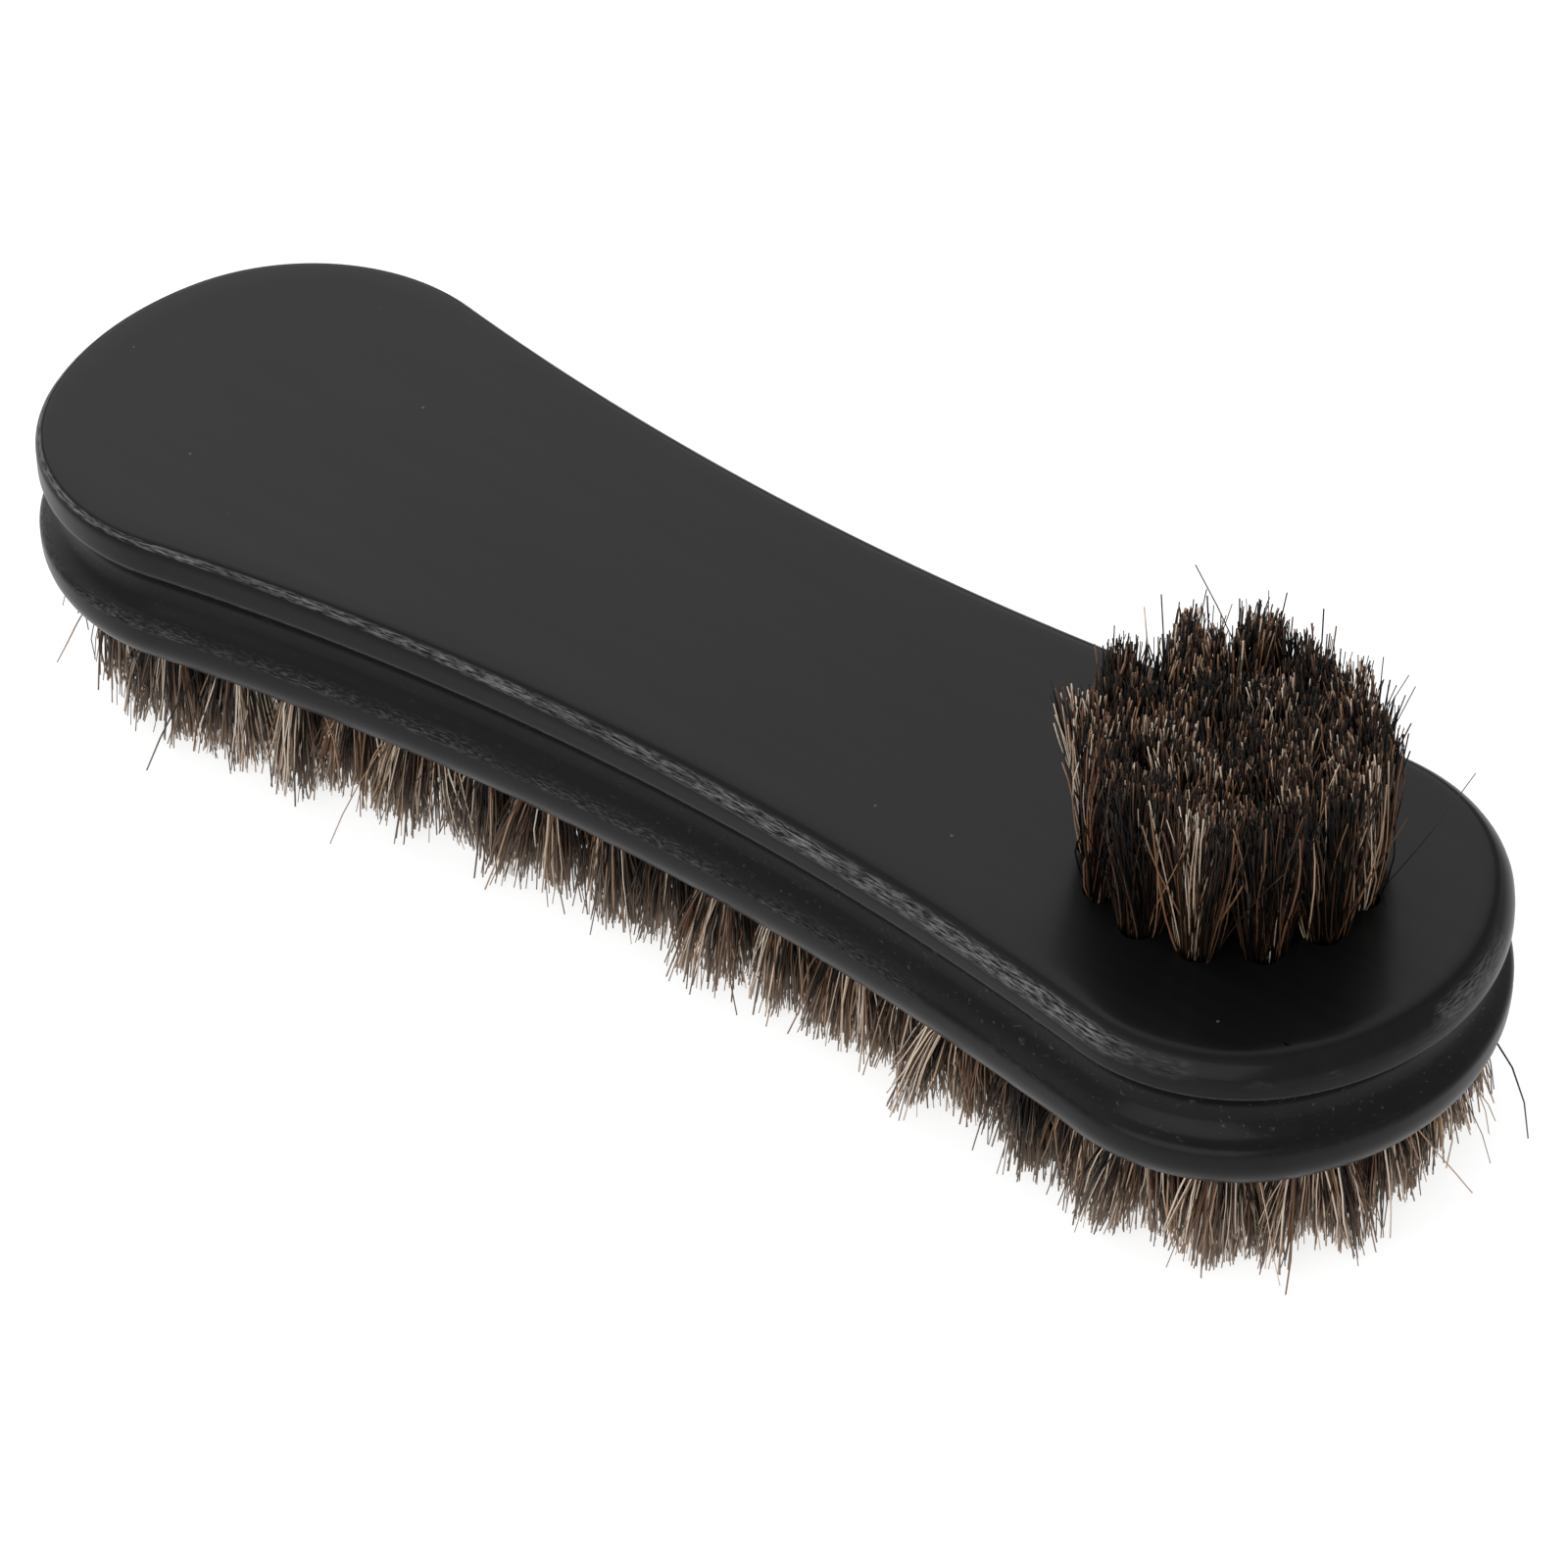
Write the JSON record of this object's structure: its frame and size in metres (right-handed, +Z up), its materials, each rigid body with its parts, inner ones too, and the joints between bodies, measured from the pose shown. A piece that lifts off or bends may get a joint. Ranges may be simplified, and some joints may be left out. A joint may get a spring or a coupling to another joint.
{
  "type": "shoe shine brush",
  "caption": "Peanut-shaped black wooden shoe shine brush with a horsehair sole and a round horsehair dauber on top of one end.",
  "frame": {"origin": "on the surface that the sole's tips stand on, under the middle of the block", "axes": "+X along the block towards the end that carries the dauber, +Z up from the sole to the dauber"},
  "size_m": [0.1749, 0.0544, 0.0496],
  "materials": {
    "black_wood": "satin",
    "horsehair": "soft",
    "steel_wire": "satin"
  },
  "bodies": {
    "root": {"handle_block": "black_wood", "sole_outer_row_front_nose": "horsehair", "sole_outer_row_front_left": "horsehair", "sole_outer_row_waist_left": "horsehair", "sole_outer_row_back_left": "horsehair", "sole_outer_row_back_nose": "horsehair", "sole_outer_row_back_right": "horsehair", "sole_outer_row_waist_right": "horsehair", "sole_outer_row_front_right": "horsehair", "sole_second_row_front_nose": "horsehair", "sole_second_row_front_left": "horsehair", "sole_second_row_waist_left": "horsehair", "sole_second_row_back_left": "horsehair", "sole_second_row_back_nose": "horsehair", "sole_second_row_back_right": "horsehair", "sole_second_row_waist_right": "horsehair", "sole_second_row_front_right": "horsehair", "sole_centre_row_front": "horsehair", "sole_centre_row_waist": "horsehair", "sole_centre_row_back": "horsehair", "dauber_tuft_01": "horsehair", "dauber_tuft_02": "horsehair", "dauber_tuft_03": "horsehair", "dauber_tuft_04": "horsehair", "dauber_tuft_05": "horsehair", "dauber_tuft_06": "horsehair", "dauber_tuft_07": "horsehair", "dauber_tuft_08": "horsehair", "dauber_tuft_09": "horsehair", "dauber_tuft_10": "horsehair", "dauber_tuft_11": "horsehair", "dauber_tuft_12": "horsehair", "dauber_tuft_13": "horsehair", "dauber_tuft_14": "horsehair", "dauber_tuft_15": "horsehair", "dauber_tuft_16": "horsehair", "dauber_tuft_17": "horsehair", "dauber_tuft_18": "horsehair", "dauber_tuft_19": "horsehair", "dauber_tuft_20": "horsehair", "dauber_tuft_21": "horsehair", "sole_wire_anchors": "steel_wire", "dauber_wire_anchors": "steel_wire"}
  },
  "joints": []
}
